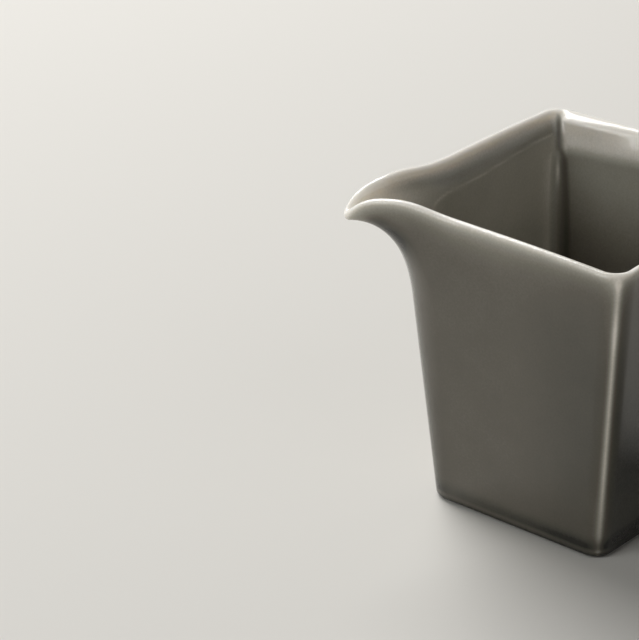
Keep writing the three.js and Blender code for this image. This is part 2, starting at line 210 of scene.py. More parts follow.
@dataclass
class JugForm:
    """The jug's surfaces, as functions of a place on the walk and a level or a height."""

    sizes: JugSizes = field(default_factory=JugSizes)

    def __post_init__(self) -> None:
        """Works out the sizes that follow from the driving ones."""
        s = self.sizes
        self.lip_height = s.body_height - s.lip_thickness / 2
        self.side_at_base = s.base_half_side - s.wall_thickness / 2
        self.side_at_lip = s.rim_half_side - s.lip_thickness / 2
        self.tip_middle = s.spout_reach - s.lip_thickness / 2
        self.spread_share = (self.tip_middle - s.spout_length) * DIAGONAL / self.side_at_lip - 1

    def half_thickness(self, z: np.ndarray) -> np.ndarray:
        """Half the clay's thickness at a height."""
        share = np.clip(z / self.lip_height, 0, 1)
        return lerp(self.sizes.wall_thickness, self.sizes.lip_thickness, share) / 2

    def half_side(self, z: np.ndarray) -> np.ndarray:
        """Half the side of the clay's middle surface at a height."""
        return lerp(self.side_at_base, self.side_at_lip, z / self.lip_height)

    def sharp_radius(self, z: np.ndarray) -> np.ndarray:
        """Outer radius of the three sharp corners at a height."""
        return lerp(self.sizes.base_corner_radius, self.sizes.rim_corner_radius, z / self.lip_height)

    def soft_radius(self, z: np.ndarray) -> np.ndarray:
        """Outer radius of the corner that carries the spout at a height."""
        share = z / self.sizes.knee_height
        return lerp(self.sizes.soft_radius_at_base, self.sizes.soft_radius_at_knee, share)

    def outline(
        self, place: np.ndarray, z: np.ndarray, half: np.ndarray, sharp: np.ndarray, soft: np.ndarray
    ) -> np.ndarray:
        """Points of a square outline with round corners, its corners on the X and Y axes.

        Each corner is an arc whose centre lies on the diagonal, at (half side - radius) times
        the square root of 2. The soft corner is walked by length: its arc, then the wall.

        Args:
            place: places on the walk.
            z: heights of the points.
            half: half the outline's side.
            sharp: radius of the three sharp corners.
            soft: radius of the corner towards -X.

        Returns:
            The points, with x, y and z in the last axis.
        """
        place, z, half, sharp, soft = np.broadcast_arrays(place, z, half, sharp, soft)
        stop, mirrored = half_walk(place)
        arc = soft * EIGHTH_TURN
        length = arc + half - soft - half * self.spread_share
        gone = np.clip(stop, 0, SPREAD_END) * length
        soft_turn = np.pi + np.minimum(gone / soft, EIGHTH_TURN)
        soft_x = -DIAGONAL * (half - soft) + soft * np.cos(soft_turn)
        soft_y = soft * np.sin(soft_turn)
        past_arc = np.maximum(gone - arc, 0) / DIAGONAL
        reach = half - sharp
        first = lerp(-half * self.spread_share, reach, stop - SPREAD_END)
        front_turn = lerp(-3 * EIGHTH_TURN, -EIGHTH_TURN, stop - FRONT_ARC)
        second = lerp(-reach, reach, stop - SIDE_START)
        rear_turn = lerp(-EIGHTH_TURN, 0, stop - REAR_ARC)
        centre = DIAGONAL * reach
        parts = [stop < SPREAD_END, stop < FRONT_ARC, stop < SIDE_START, stop < REAR_ARC]
        x = np.select(
            parts,
            [
                soft_x + past_arc,
                (first - half) / DIAGONAL,
                sharp * np.cos(front_turn),
                (half + second) / DIAGONAL,
            ],
            centre + sharp * np.cos(rear_turn),
        )
        y = np.select(
            parts,
            [
                soft_y - past_arc,
                (-half - first) / DIAGONAL,
                sharp * np.sin(front_turn) - centre,
                (second - half) / DIAGONAL,
            ],
            sharp * np.sin(rear_turn),
        )
        return np.stack([x, np.where(mirrored, -y, y), z], axis=-1)

    def spout_lip(self, share: np.ndarray) -> np.ndarray:
        """The centre line of the spout's lip, from the tip (0) to the wall's lip (1).

        In plan it is a cubic curve. Its height swells on the beak's flank as a bell curve, and
        falls to the tip as a power of the distance that is left.

        Args:
            share: how far along the lip each point is.

        Returns:
            The points, towards -Y.
        """
        s = self.sizes
        half = self.side_at_lip
        end = np.array([-half * (self.spread_share + 1), half * (self.spread_share - 1)]) / DIAGONAL
        tip = np.array([-self.tip_middle, 0.0])
        near_tip = tip - [0, s.spout_tip_width]
        near_end = end + np.array([-1, 1]) * s.spout_flank_pull / DIAGONAL
        plan = cubic(share, [tip, near_tip, near_end, end])
        from_tip = plan[..., 0] + self.tip_middle
        flank = self.lip_height + s.side_arch * (1 - self.spread_share**2)
        fall = np.maximum(0, 1 - from_tip / s.tip_drop_length) ** s.tip_drop_power
        swell = s.beak_rise * bell(from_tip, s.beak_rise_at, s.beak_rise_spread)
        height = flank + swell - (flank - s.spout_tip_height) * fall
        return np.concatenate([plan, height[..., None]], axis=-1)

    def middle(self, place: np.ndarray, level: np.ndarray, face: Face) -> np.ndarray:
        """The middle surface that a face is measured from.

        Below the knee it is the outline at each height. Above it, the lines in the spout's
        spread curve through a pull point, and the others run on straight. For the inner face
        the corners are rounder, as the pressed coils leave them.

        Args:
            place: places on the walk.
            level: levels on the upright lines.
            face: the face that is measured from this surface.

        Returns:
            The points, in millimetres.
        """
        s = self.sizes
        place, level = np.broadcast_arrays(np.asarray(place, float), np.asarray(level, float))
        stop, mirrored = half_walk(place)
        first_wall = np.clip(lerp(-self.spread_share, 1, stop - SPREAD_END), -1, 1)
        second_wall = np.clip(lerp(-1, 1, stop - SIDE_START), -1, 1)
        share = np.where(stop < SIDE_START, first_wall, second_wall)
        lip_z = self.lip_height + s.side_arch * (1 - share**2)
        rise = np.clip(level - KNEE_LEVEL, 0, None)
        height = np.where(level < KNEE_LEVEL, level * s.knee_height, lerp(s.knee_height, lip_z, rise))
        plain = self._plain(stop, np.minimum(height, s.knee_height), face)
        knee = self._plain(stop, np.full_like(stop, s.knee_height), face)
        one_below = self._plain(stop, np.full_like(stop, s.knee_height - 1), face)
        wall_lip = self._plain(stop, np.full_like(stop, self.lip_height), face)
        wall_lip[..., 2] = lip_z
        spout_lip = self.spout_lip(np.clip(stop, 0, SPREAD_END))
        lip = np.where((stop < SPREAD_END)[..., None], spout_lip, wall_lip)
        pull_z = lerp(s.keel_height, (s.knee_height + lip[..., 2]) / 2, smoothstep(stop, 0, SPREAD_END))
        pull = knee + (knee - one_below) * (pull_z - s.knee_height)[..., None]
        t = rise[..., None]
        flare = (1 - t) ** 2 * knee + 2 * (1 - t) * t * pull + t**2 * lip
        points = np.where((level > KNEE_LEVEL)[..., None], flare, plain)
        points[..., 1] *= np.where(mirrored, -1, 1)
        return points

    def _plain(self, stop: np.ndarray, z: np.ndarray, face: Face) -> np.ndarray:
        """The middle surface's outline at a height, on the first half of the walk.

        Args:
            stop: stops on the first half.
            z: heights of the points.
            face: the face that is measured from this surface.

        Returns:
            The points, in millimetres.
        """
        s = self.sizes
        half_clay = self.half_thickness(z)
        sharp = self.sharp_radius(z) - half_clay
        soft = self.soft_radius(z) - half_clay
        if face is Face.INNER:
            want = s.inner_corner_radius + half_clay
            sharp = lerp(want, sharp, smoothstep(z, *s.inner_corner_fade))
            soft = soft + s.soft_corner_fill * (1 - smoothstep(z, *s.soft_corner_fade))
        return self.outline(stop, z, self.half_side(z), sharp, soft)

    def directions(self, place: np.ndarray, level: np.ndarray, face: Face) -> tuple[np.ndarray, ...]:
        """Unit directions of the middle surface, from the differences of points close by.

        Args:
            place: places on the walk.
            level: levels on the upright lines.
            face: the face that is measured from this surface.

        Returns:
            The directions round the walk, up, and out of the body.
        """
        around = self.middle(place + NUDGE, level, face) - self.middle(place - NUDGE, level, face)
        up = self.middle(place, level + NUDGE, face) - self.middle(place, level - NUDGE, face)
        around /= np.linalg.norm(around, axis=-1, keepdims=True)
        up /= np.linalg.norm(up, axis=-1, keepdims=True)
        out = np.cross(around, up)
        return around, up, out / np.linalg.norm(out, axis=-1, keepdims=True)

    def bevel_foot(self, place: np.ndarray) -> np.ndarray:
        """How far below the top of the lip the bevel inside it ends.

        Along the wall it rises in a smooth step towards the corner. In the spout it dips
        towards the trough, as a power of the distance into the spread.

        Args:
            place: places on the walk.

        Returns:
            The drops, in millimetres.
        """
        s = self.sizes
        stop, _ = half_walk(place)
        into = np.maximum(0, s.bevel_dip_start - stop) / s.bevel_dip_width
        along = smoothstep(stop, s.bevel_dip_start, FRONT_ARC)
        return lerp(s.bevel_drop, s.bevel_drop_at_corner, along) + s.bevel_dip * into**s.bevel_dip_power

    def shoulder(self, place: np.ndarray, radius: np.ndarray) -> tuple[np.ndarray, ...]:
        """The oval inside of the lip, which is taller than the half round outside it.

        It fades to a plain half round towards the spout's tip. It swells, as a bell curve, at
        the far end of the back right wall.

        Args:
            place: places on the walk.
            radius: half the lip's thickness there.

        Returns:
            The oval's half width and half height, and the angle at which the bevel takes over.
        """
        s = self.sizes
        stop, _ = half_walk(place)
        share = smoothstep(stop, *s.shoulder_fade)
        turn = lerp(QUARTER_TURN, s.shoulder_turn, share)
        walked = np.mod(place, FULL_WALK)
        swell = s.shoulder_swell * bell(walked, s.shoulder_swell_at, s.shoulder_swell_spread)
        return radius + s.shoulder_depth * share + swell, radius + s.shoulder_height * share, turn

    def bevel_share(self, place: np.ndarray, drop: np.ndarray) -> np.ndarray:
        """How far a point lies down the bevel, from 0 at the lip's shoulder to 1 at its foot.

        Args:
            place: places on the walk.
            drop: how far below the top of the lip each point is, in millimetres.

        Returns:
            The shares, which go on past 1 below the bevel.
        """
        _, high, turn = self.shoulder(place, np.full_like(drop, self.sizes.lip_thickness / 2))
        start = high * (1 - np.cos(turn))
        return np.clip((drop - start) / (self.bevel_foot(place) - start), 0, None)

    def skin(self, place: np.ndarray, level: np.ndarray, face: Face) -> np.ndarray:
        """The outer or inner face: the middle surface moved out or in by half the clay.

        Args:
            place: places on the walk.
            level: levels on the upright lines.
            face: which face.

        Returns:
            The points. Below the knee they keep the level's own height.
        """
        start = self.middle(place, level, face)
        _, up, out = self.directions(place, level, face)
        distance = self.half_thickness(start[..., 2])
        if face is Face.INNER:
            distance = distance + self._bevel(place, start[..., 2])
        moved = start + out * (face.value * distance)[..., None]
        slide = np.where(level > KNEE_LEVEL, 0, (start[..., 2] - moved[..., 2]) / up[..., 2])
        return moved + up * slide[..., None]

    def _bevel(self, place: np.ndarray, z: np.ndarray) -> np.ndarray:
        """The clay left inside the lip's bevel.

        Down the bevel it grows evenly from the shoulder's depth to the bevel's, with its foot
        rounded by a smooth minimum. Below it the clay fades out in a smooth step of the height.

        Args:
            place: places on the walk.
            z: heights of the points.

        Returns:
            The clay's depth, in millimetres.
        """
        s = self.sizes
        radius = np.full_like(z, s.lip_thickness / 2)
        lip_z = self.middle(place, np.full_like(z, LIP_LEVEL), Face.OUTER)[..., 2]
        share = self.bevel_share(place, np.maximum(lip_z - z, 0) + radius)
        soft = s.bevel_softness
        rounded = (share + 1 - np.sqrt((share - 1) ** 2 + soft**2)) / 2
        rounded = rounded - (1 - np.sqrt(1 + soft**2)) / 2
        wide, _, turn = self.shoulder(place, radius)
        return lerp(wide * np.sin(turn) - radius, s.bevel_depth, rounded) * smoothstep(z, *s.bevel_fade)

    def lip(self, place: np.ndarray, turn: np.ndarray) -> np.ndarray:
        """The lip: a quarter circle outside its top and a taller quarter oval inside it.

        Args:
            place: places on the walk.
            turn: -1 at the outer face, 0 on top, and 1 where the bevel takes over.

        Returns:
            The points, in millimetres.
        """
        level = np.full_like(place, LIP_LEVEL)
        centre = self.middle(place, level, Face.OUTER)
        around, _, out = self.directions(place, level, Face.OUTER)
        over = np.cross(out, around)
        radius = np.full_like(place, self.sizes.lip_thickness / 2)
        wide, high, last = self.shoulder(place, radius)
        inside = turn > 0
        angle = np.where(inside, turn * last, -turn * QUARTER_TURN)
        aside = np.where(inside, -wide, radius) * np.sin(angle)
        above = radius - np.where(inside, high, radius) * (1 - np.cos(angle))
        return centre + out * aside[..., None] + over * above[..., None]

    def bevel_level(self, place: np.ndarray) -> np.ndarray:
        """The level at which the bevel takes over from the lip's shoulder.

        Args:
            place: places on the walk.

        Returns:
            The levels, each a little below the lip's.
        """
        level = np.full_like(place, LIP_LEVEL)
        step = self.middle(place, level, Face.OUTER) - self.middle(place, level - NUDGE, Face.OUTER)
        pace = np.linalg.norm(step, axis=-1) / NUDGE
        radius = np.full_like(place, self.sizes.lip_thickness / 2)
        _, high, turn = self.shoulder(place, radius)
        return LIP_LEVEL - (high * (1 - np.cos(turn)) - radius) / pace

    def base(self, place: np.ndarray, z: np.ndarray, inset: np.ndarray) -> np.ndarray:
        """The outer outline at a height, moved in by inset."""
        half = self.half_side(z) + self.half_thickness(z) - inset
        return self.outline(place, z, half, self.sharp_radius(z) - inset, self.soft_radius(z) - inset)

    def floor_edge(self, place: np.ndarray, angle: np.ndarray) -> np.ndarray:
        """The hollow fillet round the floor, a quarter circle in section.

        Args:
            place: places on the walk.
            angle: from 0 at the wall to a quarter turn at the floor.

        Returns:
            The points, in millimetres.
        """
        s = self.sizes
        z = s.floor_top + s.floor_fillet * (1 - np.sin(angle))
        depth = s.floor_fillet * (1 - np.cos(angle))
        clay = self.half_thickness(z)
        sharp = lerp(s.inner_corner_radius, s.floor_corner_radius, depth / s.floor_fillet)
        soft = self.soft_radius(z) - 2 * clay + s.soft_corner_fill
        soft = lerp(soft, s.floor_corner_radius, depth / s.floor_fillet)
        return self.outline(place, z, self.half_side(z) - clay - depth, sharp, soft)


@dataclass(frozen=True)
class Skin:
    """Where each point of the jug's skin lies, by the measures that the glaze follows.

    Place is on the walk, stop is the same on its first half, and outside is true as far as the
    top of the lip. The others are in millimetres. From_lip goes over the skin, and from_tip
    along X. From_corner goes round the skin from the middle of the front or far corner, with
    a minus sign towards the spout, and from_rear from the rear edge. Half_side is half the
    side of the level square through the point, and from_crease is how far the point lies
    below the bevel's foot.
    """

    place: np.ndarray
    stop: np.ndarray
    outside: np.ndarray
    height: np.ndarray
    above_foot: np.ndarray
    from_lip: np.ndarray
    from_tip: np.ndarray
    half_side: np.ndarray
    from_corner: np.ndarray
    from_rear: np.ndarray
    from_crease: np.ndarray

    @classmethod
    def measured(cls, form: JugForm, rows: np.ndarray, lip_row: int) -> Skin:
        """Measures a skin.

        Args:
            form: the jug's form.
            rows: the skin's points in millimetres, by row and column.
            lip_row: the row along the top of the lip.

        Returns:
            The measures of its points.
        """
        steps = np.linalg.norm(np.diff(rows, axis=0), axis=-1)
        along = np.concatenate([np.zeros((1, rows.shape[1])), np.cumsum(steps, axis=0)])
        place = columns()[None, :]
        stop, _ = half_walk(place)
        height = rows[..., 2]
        corner_arc = QUARTER_TURN * form.sharp_radius(height)
        drop = np.maximum(height[lip_row] - height, 0)
        past_foot = form.bevel_share(place + 0 * height, drop) - 1
        return cls(
            place=place,
            stop=stop,
            outside=(np.arange(len(rows)) <= lip_row)[:, None],
            height=height,
            above_foot=height - form.sizes.foot_height,
            from_lip=np.abs(along - along[lip_row]),
            from_tip=rows[..., 0] + form.sizes.spout_reach,
            half_side=np.abs(rows[..., :2]).sum(axis=-1) / DIAGONAL,
            from_corner=(stop - CORNER_MIDDLE) * corner_arc,
            from_rear=np.abs(stop - REAR_EDGE) * corner_arc / 2,
            from_crease=past_foot * form.bevel_foot(place),
        )


@dataclass(frozen=True)
class Fade:
    """A smooth step of a measure, from a value at its start to another at its end."""

    start: float
    end: float
    low: float = 0.0
    high: float = 1.0

    def at(self, value: np.ndarray) -> np.ndarray:
        """The value at each measure."""
        return lerp(self.low, self.high, smoothstep(value, self.start, self.end))


@dataclass(frozen=True)
class Hump:
    """A bell curve of a measure: its height, its middle and how far it spreads."""

    height: float
    middle: float
    spread: float

    def at(self, value: np.ndarray) -> np.ndarray:
        """Its height at each measure."""
        return self.height * bell(value, self.middle, self.spread)


@dataclass(frozen=True)
class GlazeAndPaintedLight:
    """How thick the glaze lies, with painted light and shade laid into the same depth: 0 where it leaves
    the clay bare, and 1 where it pools.

    The top of the lip is bare, and below it the glaze thickens as one minus a falling exponential of the
    distance. It thins on every outer edge, which shows as a pale line, and in the spout's trough, and
    gathers along the foot and in the inner corners. Painted light and shade are laid into the same depth: a
    thinner coat inside as painted light, deepening downwards as painted shade; a thin strip under the lip
    inside the rear walls as a painted pool of light; a paler trough, a wider pale line beside the spout's
    corner and a pale strip and spot in the inner corners as painted light and reflection; and painted shade
    on the lip near the front corner, towards the front corner and on the rear walls, in a contact line at
    the foot, on the corner under the spout, under the beak, round the bevel's foot and in the inner
    corners. Both flat floors have an even coat.
    """

    # The even coats. The rear walls are the two away from the spout. The inner coats are thinner than the
    # outer one, which is painted light inside the jug, and they deepen downwards, which is painted shade.
    # The strip under the lip inside the rear walls is a painted pool of light. The pairs are for the strip
    # in the front right wall and in the back right wall
    outer_coat: float = 0.62
    inner_coat_and_painted_light: Fade = Fade(16, 32, 0.18, 0.26)
    rear_coat_and_painted_shade: Fade = Fade(14, 40, 0.33, 0.58)
    rear_walls: Fade = Fade(2.35, 2.65)
    back_right: Fade = Fade(4.5, 5.5)
    band_height: Fade = Fade(6.6, 7.0, 8.2, 11.2)
    band_foot: Fade = Fade(-2.0, 2.0, 1.0, 0.0)
    lit_band_depths: tuple[float, float] = (0.3, 0.03)
    band_starts: tuple[float, float] = (1.0, 3.0)
    band_rises: tuple[float, float] = (3.5, 6.0)
    floor_coat: float = 0.58
    flat_floor: Fade = Fade(12, 19, 1.0, 0.0)

    # The bare lip, and the pace at which the glaze below it thickens. Outside, the bare strip narrows
    # towards the front corner and is wider at the corner itself. A darker strip on top of the lip just
    # before the front corner is painted shade. The pairs are for the walls by the spout and for the rear
    # walls
    bare_outside: float = 0.6
    bare_near_front: Hump = Hump(-0.5, CORNER_MIDDLE, 1.2)
    bare_at_front: Hump = Hump(0.6, CORNER_MIDDLE, 0.45)
    bare_inside: tuple[float, float] = (2.0, 2.1)
    pace_outside: float = 3.3
    pace_near_front: Hump = Hump(0.3, CORNER_MIDDLE, 1.2)
    paces_inside: tuple[float, float] = (2.6, 0.8)
    painted_lip_shade: Hump = Hump(0.16, 1.95, 0.4)
    painted_lip_shade_width: float = 0.6

    # The outer edges: a keen pale line in a soft one, where the glaze is thin. The soft line is wider
    # towards the spout, and that extra width is painted light. The coat gains painted shade from the spout
    # towards the corners and keeps it on the rear walls, with more of it midway up
    keen_line: Fade = Fade(3, 16, 0.24, 0.52)
    keen_line_low: Fade = Fade(4, 24, 0.66, 1.0)
    keen_width: float = 0.8
    soft_line: float = 0.24
    soft_widths: tuple[float, float] = (2.6, 1.4)
    painted_wall_shade: Fade = Fade(1.2, 2.1, 0.0, 0.12)
    painted_wall_shade_midway: Fade = Fade(1.1, 2.3, 0.0, 0.1)
    midway_rise: Fade = Fade(6, 24)
    midway_fall: Fade = Fade(45, 65, 1.0, 0.0)
    edge_start: Fade = Fade(0.5, 3)

    # The foot: a dark line at the very bottom, which is a painted contact shadow, a paler one over it,
    # which is thin glaze on the edge and partly painted light, and a wide pool over both, deeper near the
    # front and far corners, which is pooled glaze and painted shade. The rear walls are painted darker
    # lower down, and the corner under the spout darker below the lip, both painted shade
    painted_contact_shadow: Fade = Fade(0.45, 0.8, 0.6, 0.0)
    foot_gap: Hump = Hump(0.16, 1.3, 0.4)
    foot_pool_and_shade: float = 0.1
    foot_pool_and_shade_at_corner: Hump = Hump(0.26, 0, 16)
    foot_pool_and_shade_height: Hump = Hump(1.0, 2.6, 1.9)
    painted_rear_shade: Fade = Fade(2.65, 3.1, 0.0, 0.16)
    painted_rear_shade_height: Fade = Fade(15, 60, 1.0, 0.0)
    keel: Hump = Hump(0.2, 0, 0.22)
    keel_start: Fade = Fade(3, 8)

    # Painted shade under the beak, beside its keel, and on the chin, a deeper patch lower down
    beak: Hump = Hump(0.32, 0.29, 0.12)
    beak_start: Fade = Fade(3, 7)
    beak_end: Fade = Fade(12, 22, 1.0, 0.0)
    chin: Hump = Hump(0.2, 11.8, 3.2)
    chin_width: Hump = Hump(1.0, 0.37, 0.12)

    # Inside: more glaze at the spout's root, painted shade round the bevel's foot, and less glaze in the
    # trough, whose paleness is partly painted light
    root: Hump = Hump(0.06, 0.72, 0.3)
    painted_shade_by_bevel: Hump = Hump(0.15, 5.2, 1.8)
    gathered_start: Fade = Fade(2, 5)
    trough: Fade = Fade(8, 26, 0.1, 1.0)

    # The inner corners. The seam is in the corner near the lip and beside it lower down, where there are
    # also a hollow, a pale strip and, in the far corner, a pale spot. The seam, the hollow and the rear
    # seam are gathered glaze and painted shade, the pale strip is a painted reflection and the pale spot a
    # painted highlight. The pairs are for the upper and the lower part
    seam_low: Fade = Fade(9, 12.5)
    seam_depths: tuple[float, float] = (0.44, 0.26)
    seam_places: tuple[float, float] = (0.3, 2.2)
    seam_spread: Fade = Fade(2, 8, 1.2, 1.5)
    seam_spread_low: float = 1.2
    seam_start: Fade = Fade(1, 4)
    hollow: Hump = Hump(0.15, 0, 2.2)
    painted_reflection_strip: Hump = Hump(0.1, -3.8, 0.9)
    painted_glint: Hump = Hump(0.3, -0.3, 0.7)
    painted_glint_height: Hump = Hump(1.0, 15, 3)
    rear_seam: Hump = Hump(0.5, 0, 1.3)
    rear_seam_start: Fade = Fade(1.5, 8)

    # The pale line at the foot of the bevel, along the walls by the spout
    crease: Hump = Hump(0.12, 0, 0.45)
    crease_start: Fade = Fade(0.6, 0.75)
    crease_end: Fade = Fade(2.0, 2.3, 1.0, 0.0)

    def depth(self, skin: Skin) -> np.ndarray:
        """The glaze's depth all over the skin, with the painted light and shade laid into it.

        Args:
            skin: the measures of the skin's points.

        Returns:
            The depth at each point, from 0 to 1.
        """
        even = self._even(skin)
        outer = even + self._foot(skin) + self._painted_shade_under_beak(skin) - self._edges(skin)
        # Inside, the glaze thins towards the spout's tip, a paleness that is partly painted light
        inner = (even + self._gathered_and_painted_shade(skin)) * self.trough.at(skin.from_tip)
        inner = inner + self._corner_glaze_and_painted_light(skin) - self._crease(skin)
        walls = np.where(skin.outside, outer, inner)
        floors = np.where(skin.outside, self.outer_coat, self.floor_coat)
        return np.clip(lerp(walls, floors, self.flat_floor.at(skin.half_side)), 0.0, 1.0)

    def _even(self, skin: Skin) -> np.ndarray:
        """The coat on an open wall and its thinning towards the lip, with painted light and shade inside, a
        painted pool of light under the lip inside the rear walls and painted shade on the lip near the
        front corner.

        Args:
            skin: the measures of the skin's points.

        Returns:
            The depth at each point.
        """
        rear = self.rear_walls.at(skin.stop)
        back = self.back_right.at(skin.place)
        # The strip under the lip inside the rear walls is a painted pool of light
        band = self.band_foot.at(skin.from_lip - self.band_height.at(skin.place))
        into_band = (skin.from_lip - lerp(*self.band_starts, back)) / lerp(*self.band_rises, back)
        lit_band_depth = lerp(*self.lit_band_depths, back) * smoothstep(into_band, 0, 1)
        rear_coat_and_painted_shade = lerp(self.rear_coat_and_painted_shade.at(skin.from_lip), lit_band_depth, band)
        # The thinner inner coat is painted light inside the jug, and its deepening downwards painted shade
        inner_coat_and_painted_light = lerp(self.inner_coat_and_painted_light.at(skin.from_lip), rear_coat_and_painted_shade, rear)
        full = np.where(skin.outside, self.outer_coat, inner_coat_and_painted_light)
        bare_front = self.bare_near_front.at(skin.place) + self.bare_at_front.at(skin.place)
        bare = np.where(skin.outside, self.bare_outside + bare_front, lerp(*self.bare_inside, rear))
        pace_outside = self.pace_outside + self.pace_near_front.at(skin.place)
        pace = np.where(skin.outside, pace_outside, lerp(*self.paces_inside, rear))
        thinned = full * (1 - np.exp(-np.maximum(skin.from_lip - bare, 0) / pace))
        # The darker strip on top of the lip near the front corner is painted shade
        return np.maximum(thinned, self.painted_lip_shade.at(skin.place) * bell(skin.from_lip, 0, self.painted_lip_shade_width))

    def _edges(self, skin: Skin) -> np.ndarray:
        """How much thinner the glaze is on the outer edges, with painted light in the soft line's extra
        width by the spout, less the painted shade towards the front corner and on the rear walls.

        Args:
            skin: the measures of the skin's points.

        Returns:
            The lack of depth at each point.
        """
        from_edge = np.minimum(np.abs(skin.from_corner), skin.from_rear)
        keen = self.keen_line.at(skin.from_lip) * self.keen_line_low.at(skin.height)
        # The soft line's extra width towards the spout is painted light
        wide = np.where(skin.from_corner < 0, *self.soft_widths)
        lines = keen * bell(from_edge, 0, self.keen_width) + self.soft_line * bell(from_edge, 0, wide)
        midway = self.midway_rise.at(skin.height) * self.midway_fall.at(skin.height)
        # Painted shade towards the front corner and on the rear walls, with more of it midway up
        painted_wall_shade = self.painted_wall_shade.at(skin.stop) + self.painted_wall_shade_midway.at(skin.stop) * midway
        return (lines - painted_wall_shade) * self.edge_start.at(skin.from_lip)

    def _foot(self, skin: Skin) -> np.ndarray:
        """Pooled glaze and painted shade outside: a painted contact shadow and a paler line at the foot,
        the pool over them, painted shade lower on the rear walls and on the corner under the spout.

        Args:
            skin: the measures of the skin's points.

        Returns:
            The added depth at each point.
        """
        # A painted contact shadow at the very bottom, with a pale line over it that is thin glaze and
        # partly painted light
        line = self.painted_contact_shadow.at(skin.above_foot) - self.foot_gap.at(skin.above_foot)
        # Pooled glaze over the foot and painted shade, deeper near the front and far corners
        pool_and_shade = self.foot_pool_and_shade + self.foot_pool_and_shade_at_corner.at(skin.from_corner)
        # Painted shade lower down the rear walls
        painted_rear_shade = self.painted_rear_shade.at(skin.stop) * self.painted_rear_shade_height.at(skin.height)
        # Painted shade on the corner under the spout
        keel = self.keel.at(skin.stop) * self.keel_start.at(skin.from_lip)
        return pool_and_shade * self.foot_pool_and_shade_height.at(skin.above_foot) + line + painted_rear_shade + keel

    def _painted_shade_under_beak(self, skin: Skin) -> np.ndarray:
        """The painted shade under the beak and on its chin.

        Args:
            skin: the measures of the skin's points.

        Returns:
            The added depth at each point.
        """
        along = self.beak_start.at(skin.from_lip) * self.beak_end.at(skin.from_lip)
        # Painted shade under the beak and on the chin
        return self.beak.at(skin.stop) * along + self.chin.at(skin.from_lip) * self.chin_width.at(skin.stop)

    def _gathered_and_painted_shade(self, skin: Skin) -> np.ndarray:
        """The glaze that has gathered inside at the spout's root, and the painted shade round the bevel's
        foot.

        Args:
            skin: the measures of the skin's points.

        Returns:
            The added depth at each point.
        """
        by_spout = 1 - self.rear_walls.at(skin.stop)
        # Glaze gathered at the spout's root, and painted shade round the bevel's foot
        gathered = self.root.at(skin.stop) + self.painted_shade_by_bevel.at(skin.from_lip) * by_spout
        return gathered * self.gathered_start.at(skin.from_lip)

    def _corner_glaze_and_painted_light(self, skin: Skin) -> np.ndarray:
        """The glaze that has gathered in the inner corners with painted shade, and a painted reflection and
        highlight beside them.

        Args:
            skin: the measures of the skin's points.

        Returns:
            The added depth at each point.
        """
        low = self.seam_low.at(skin.from_lip)
        spread = lerp(self.seam_spread.at(skin.from_lip), self.seam_spread_low, low)
        # The seam: glaze gathered in the corner, and painted shade
        seam = lerp(*self.seam_depths, low) * bell(skin.from_corner, lerp(*self.seam_places, low), spread)
        in_far_corner = skin.place > REAR_EDGE
        # A painted highlight in the far corner
        painted_glint = self.painted_glint.at(skin.from_corner) * self.painted_glint_height.at(skin.from_lip) * in_far_corner
        # The hollow is gathered glaze and painted shade, and the pale strip beside it a painted reflection
        beside = self.hollow.at(skin.from_corner) - self.painted_reflection_strip.at(skin.from_corner) - painted_glint
        # The rear seam: glaze gathered in the rear corner, and painted shade
        rear = self.rear_seam.at(skin.from_rear) * self.rear_seam_start.at(skin.from_lip)
        return seam * self.seam_start.at(skin.from_lip) + beside * low + rear

    def _crease(self, skin: Skin) -> np.ndarray:
        """How much thinner the glaze is on the crease at the bevel's foot."""
        along = self.crease_start.at(skin.stop) * self.crease_end.at(skin.stop)
        return self.crease.at(skin.from_crease) * along


def hex_to_linear(code: str) -> tuple[float, float, float, float]:
    """A linear colour from an sRGB hex value, such as "#808080".

    Args:
        code: the hex value.

    Returns:
        Linear red, green and blue, and an alpha of 1.
    """
    shares = [int(code[i : i + 2], 16) / 255 for i in (1, 3, 5)]
    linear = [c / 12.92 if c <= 0.04045 else ((c + 0.055) / 1.055) ** 2.4 for c in shares]
    return (*linear, 1.0)


class Nodes:
    """The node tree of a material or a world, with one way to add a node."""

    def __init__(self, owner: bpy.types.Material | bpy.types.World) -> None:
        """Empties the owner's tree.

        Args:
            owner: the material or the world.
        """
        self.owner = owner
        owner.use_nodes = True
        self.tree = owner.node_tree
        self.tree.nodes.clear()

    def add(self, kind: str, settings: dict | None = None, **inputs: object) -> bpy.types.NodeSocket | None:
        """Adds a node with its settings, values and links.

        Args:
            kind: the node's type, such as "ShaderNodeTexNoise".
            settings: the node's own properties, by name, with a colour ramp's "stops" as pairs
                of a place and a hex colour, and "output" for another output than the first.
            **inputs: a value or another node's output for each input. Spaces in an input's
                name are written as underscores, and "i" and a number pick one by its place.

        Returns:
            The node's output, or None if it has no outputs.
        """
        node = self.tree.nodes.new(kind)
        wanted = dict(settings or {})
        stops = wanted.pop("stops", [])
        output = wanted.pop("output", 0)
        for key, value in wanted.items():
            setattr(node, key, value)
        for number, (place, code) in enumerate(stops):
            marks = node.color_ramp.elements
            mark = marks[number] if number < len(marks) else marks.new(place)
            mark.position, mark.color = place, hex_to_linear(code)
        for key, value in inputs.items():
            by_place = key[0] == "i" and key[1:].isdigit()
            socket = node.inputs[int(key[1:]) if by_place else key.replace("_", " ")]
            if isinstance(value, bpy.types.NodeSocket):
                self.tree.links.new(value, socket)
            else:
                socket.default_value = value
        return node.outputs[output] if len(node.outputs) else None


